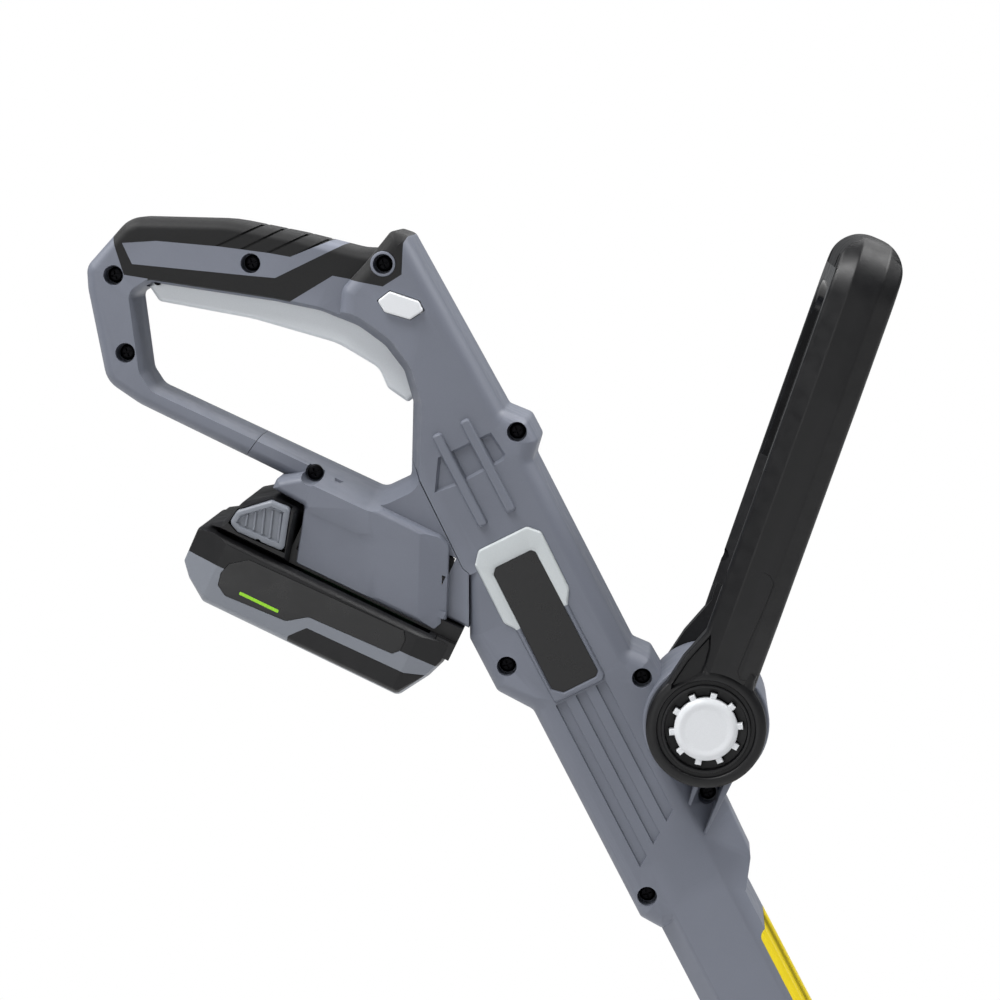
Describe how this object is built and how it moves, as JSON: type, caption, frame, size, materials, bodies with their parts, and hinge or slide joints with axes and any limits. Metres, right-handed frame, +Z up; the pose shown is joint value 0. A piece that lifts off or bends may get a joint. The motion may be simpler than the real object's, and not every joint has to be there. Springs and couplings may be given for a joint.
{
  "type": "cordless string trimmer",
  "caption": "Battery string trimmer: moulded housing with rear grip and trigger, tilting front loop handle, sliding shaft, tilting motor head with spool, guard and edge guide.",
  "frame": {"origin": "spool axis at the underside of the bump button, where the trimmer rests on the ground", "axes": "+Z up, +X forward away from the user, +Y to the left of the user; the shaft leans back towards -X in the working pose"},
  "size_m": [0.7162, 0.3, 0.8996],
  "materials": {
    "housing": "fine textured slate grey",
    "dock": "fine textured slate grey",
    "soft_black": "soft matt",
    "trim": "satin light grey",
    "plate": "smooth black",
    "screw_steel": "black zinc",
    "black_plastic": "fine textured black",
    "handle_plastic": "fine textured black",
    "board": "coated board",
    "brass": "plated",
    "sleeve": "drawn",
    "tube_aluminium": "drawn, satin",
    "trigger_plastic": "satin light grey",
    "button_plastic": "satin off-white",
    "spring_steel": "drawn wire",
    "battery_grey": "fine textured grey",
    "cell_wrap": "shrunk sleeve",
    "steel": "turned",
    "spool_plastic": "moulded",
    "nylon": "drawn line"
  },
  "bodies": {
    "main": {"housing_right": "housing", "housing_left": "housing", "battery_dock_right": "dock", "battery_dock_left": "dock", "grip_cover_right": "soft_black", "grip_cover_left": "soft_black", "label_bezel": "trim", "rating_plate": "plate", "housing_screws": "screw_steel", "power_switch": "black_plastic", "control_board": "board", "dock_terminals": "brass", "outer_tube": "sleeve", "tube_collet": "black_plastic", "trigger_pin": "screw_steel", "trigger_spring": "spring_steel", "lock_off_springs": "spring_steel", "handle_springs": "spring_steel"},
    "trigger": {"trigger": "trigger_plastic"},
    "lock_off_right": {"lock_button_right": "button_plastic"},
    "lock_off_left": {"lock_button_left": "button_plastic"},
    "battery": {"battery_case": "battery_grey", "battery_frame": "black_plastic", "battery_bumper": "black_plastic", "battery_labels": "plate", "battery_cells": "cell_wrap", "cell_holders": "black_plastic", "battery_board": "board", "battery_contacts": "brass", "latch_springs": "spring_steel"},
    "battery_latch_right": {"latch_right": "battery_grey"},
    "battery_latch_left": {"latch_left": "battery_grey"},
    "front_handle": {"handle_front_shell": "handle_plastic", "handle_rear_shell": "handle_plastic", "handle_screws": "screw_steel"},
    "adjuster_right": {"adjust_button_right": "button_plastic"},
    "adjuster_left": {"adjust_button_left": "button_plastic"},
    "lock_collar": {"tube_lock_collar": "black_plastic"},
    "sliding_shaft": {"lower_tube": "tube_aluminium", "head_fork": "black_plastic", "pivot_bolt": "screw_steel"},
    "head": {"motor_housing_right": "black_plastic", "motor_housing_left": "black_plastic", "motor_can": "steel", "motor_bearings": "steel", "guard": "black_plastic", "guard_screws": "screw_steel", "line_cutter": "steel"},
    "spinner": {"rotor": "steel", "spool_driver": "black_plastic", "line_eyelets": "steel", "spool_cover": "black_plastic", "bump_spring": "spring_steel"},
    "spool": {"bump_button": "black_plastic", "line_spool": "spool_plastic", "line_winding": "nylon"},
    "wire_guide": {"edge_guide": "spring_steel"}
  },
  "joints": [
    {"name": "trigger_pull", "type": "hinge", "parent": "main", "child": "trigger", "pos_m": [-0.55131, 0, 0.87243], "axis": [0, -1, 0], "range_deg": [0, 4.5], "stiffness_Nm_per_rad": 0.5, "springref_deg": -11.46},
    {"name": "lock_off_right_press", "type": "slide", "parent": "main", "child": "lock_off_right", "axis": [0, 1, 0], "range_m": [0, 0.0022], "stiffness_N_per_m": 400, "springref_m": -0.004},
    {"name": "lock_off_left_press", "type": "slide", "parent": "main", "child": "lock_off_left", "axis": [0, -1, 0], "range_m": [0, 0.0022], "stiffness_N_per_m": 400, "springref_m": -0.004},
    {"name": "battery_slide", "type": "slide", "parent": "main", "child": "battery", "axis": [-0.9026, 0, 0.4305], "range_m": [0, 0.1]},
    {"name": "latch_right_press", "type": "slide", "parent": "battery", "child": "battery_latch_right", "axis": [0, 1, 0], "range_m": [0, 0.0025], "stiffness_N_per_m": 400, "springref_m": -0.004},
    {"name": "latch_left_press", "type": "slide", "parent": "battery", "child": "battery_latch_left", "axis": [0, -1, 0], "range_m": [0, 0.0025], "stiffness_N_per_m": 400, "springref_m": -0.004},
    {"name": "handle_tilt", "type": "hinge", "parent": "main", "child": "front_handle", "pos_m": [-0.31981, 0, 0.68923], "axis": [0, 1, 0], "range_deg": [-35, 25]},
    {"name": "adjuster_right_press", "type": "slide", "parent": "front_handle", "child": "adjuster_right", "axis": [0, 1, 0], "range_m": [0, 0.0042], "stiffness_N_per_m": 500, "springref_m": -0.004},
    {"name": "adjuster_left_press", "type": "slide", "parent": "front_handle", "child": "adjuster_left", "axis": [0, -1, 0], "range_m": [0, 0.0042], "stiffness_N_per_m": 500, "springref_m": -0.004},
    {"name": "collar_turn", "type": "hinge", "parent": "main", "child": "lock_collar", "pos_m": [-0.24963, 0, 0.47211], "axis": [-0.4617, 0, 0.887], "range_deg": [0, 60]},
    {"name": "tube_extend", "type": "slide", "parent": "main", "child": "sliding_shaft", "axis": [0.4617, 0, -0.887], "range_m": [0, 0.14]},
    {"name": "head_tilt", "type": "hinge", "parent": "sliding_shaft", "child": "head", "pos_m": [-0.058, 0, 0.104], "axis": [0, 1, 0], "range_deg": [-30, 30]},
    {"name": "spool_spin", "type": "hinge", "parent": "head", "child": "spinner", "pos_m": [0, 0, 0.02], "axis": [0, 0, 1], "continuous": true},
    {"name": "bump_press", "type": "slide", "parent": "spinner", "child": "spool", "axis": [0, 0, 1], "range_m": [0, 0.004], "stiffness_N_per_m": 1500, "springref_m": -0.005, "deforming": ["bump_spring"]},
    {"name": "guide_fold", "type": "hinge", "parent": "head", "child": "wire_guide", "pos_m": [0, 0, 0.052], "axis": [0, 1, 0], "range_deg": [-95, 0]}
  ]
}
